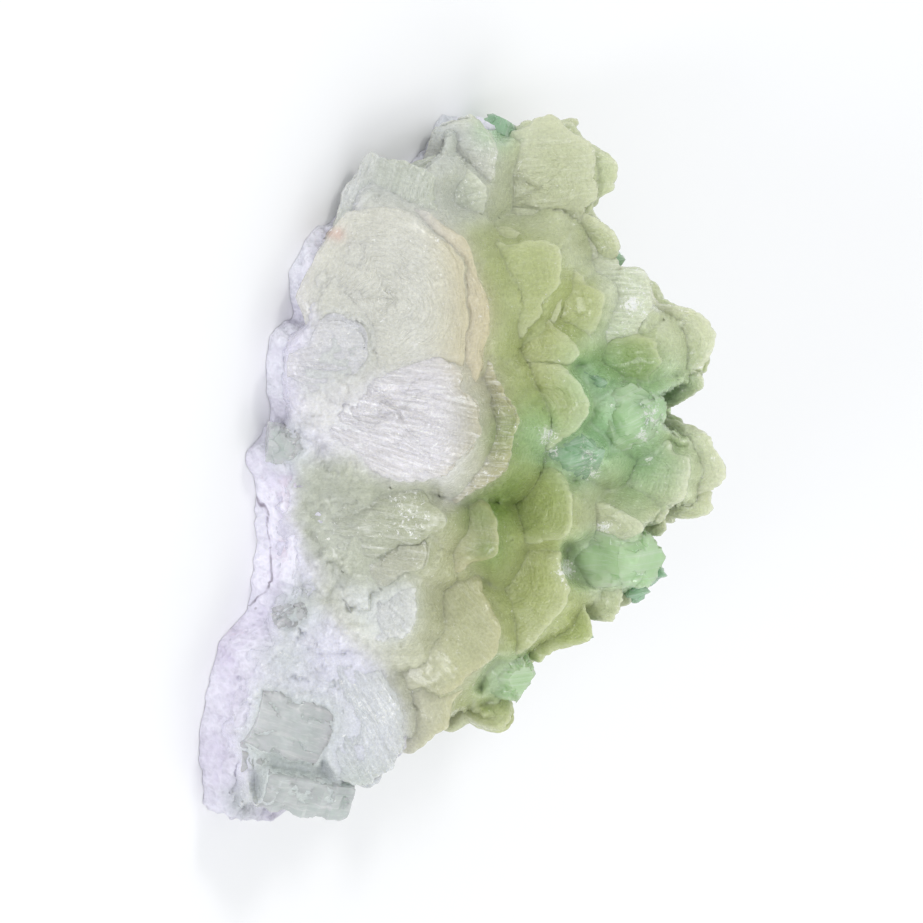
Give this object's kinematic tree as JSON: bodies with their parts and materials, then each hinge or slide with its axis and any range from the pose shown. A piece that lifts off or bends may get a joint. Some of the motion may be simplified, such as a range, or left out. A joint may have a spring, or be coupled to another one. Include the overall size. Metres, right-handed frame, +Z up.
{
  "type": "apophyllite and stilbite crystal cluster",
  "caption": "Crystal specimen of mint green apophyllite points and cream stilbite sheaves standing on a thin crust of white chalcedony with a flat underside.",
  "frame": {"origin": "on the flat underside of the chalcedony matrix, close to the middle of its length", "axes": "+X along the specimen's longest dimension, +Y from the front crystals to the back, +Z up out of the flat underside"},
  "size_m": [0.1138, 0.073, 0.0449],
  "materials": {
    "chalcedony": "granular, waxy, faintly lilac white",
    "stilbite_cream": "pearly, translucent, striated",
    "stilbite_grey": "pearly, translucent, striated",
    "stilbite_olive": "pearly, translucent, smooth",
    "stilbite_spring": "pearly, translucent, striated",
    "apophyllite_mint": "glassy, clear, internal veils",
    "apophyllite_teal": "glassy, clear, internal veils",
    "apophyllite_frost": "glassy, frosted, internal veils"
  },
  "bodies": {
    "root": {"chalcedony_matrix": "chalcedony", "small_left_leaf": "stilbite_grey", "striated_front_sheaf": "stilbite_cream", "great_front_sheaf": "stilbite_cream", "middle_left_sheaf": "stilbite_grey", "middle_blade": "stilbite_cream", "small_white_fan": "stilbite_grey", "lower_left_sheaf": "stilbite_grey", "lower_middle_sheaf": "stilbite_cream", "upper_left_blade": "stilbite_grey", "curved_upper_blade": "stilbite_grey", "top_left_blade": "stilbite_grey", "centre_upper_sheaf": "stilbite_olive", "centre_lower_sheaf": "stilbite_olive", "crevice_blade": "stilbite_olive", "apophyllite_centre": "apophyllite_teal", "apophyllite_right_point": "apophyllite_mint", "apophyllite_middle_point": "apophyllite_teal", "olive_right_blade": "stilbite_olive", "bright_striated_blade": "stilbite_spring", "right_fan": "stilbite_spring", "pale_upper_blade": "stilbite_grey", "top_sheaf": "stilbite_spring", "apophyllite_top_point": "apophyllite_teal", "apophyllite_upper_right_point": "apophyllite_teal", "lower_right_blade": "stilbite_spring", "large_right_blade": "stilbite_spring", "apophyllite_lower_right_block": "apophyllite_mint", "apophyllite_right_tip": "apophyllite_teal", "pale_lower_blade": "stilbite_spring", "apophyllite_small_tip": "apophyllite_teal", "large_olive_blade": "stilbite_olive", "lower_edge_sheaf": "stilbite_olive", "apophyllite_lower_sliver": "apophyllite_teal", "apophyllite_bottom_green": "apophyllite_mint", "bottom_tip_blade": "stilbite_olive", "apophyllite_left_block": "apophyllite_frost", "apophyllite_bottom_block": "apophyllite_mint", "apophyllite_small_upper": "apophyllite_frost", "apophyllite_small_lower": "apophyllite_frost", "apophyllite_small_left": "apophyllite_frost", "rear_top_sheaf": "stilbite_spring", "rear_left_sheaf": "stilbite_olive", "rear_middle_sheaf": "stilbite_olive", "rear_right_sheaf": "stilbite_olive", "right_end_sheaf": "stilbite_olive"}
  },
  "joints": []
}
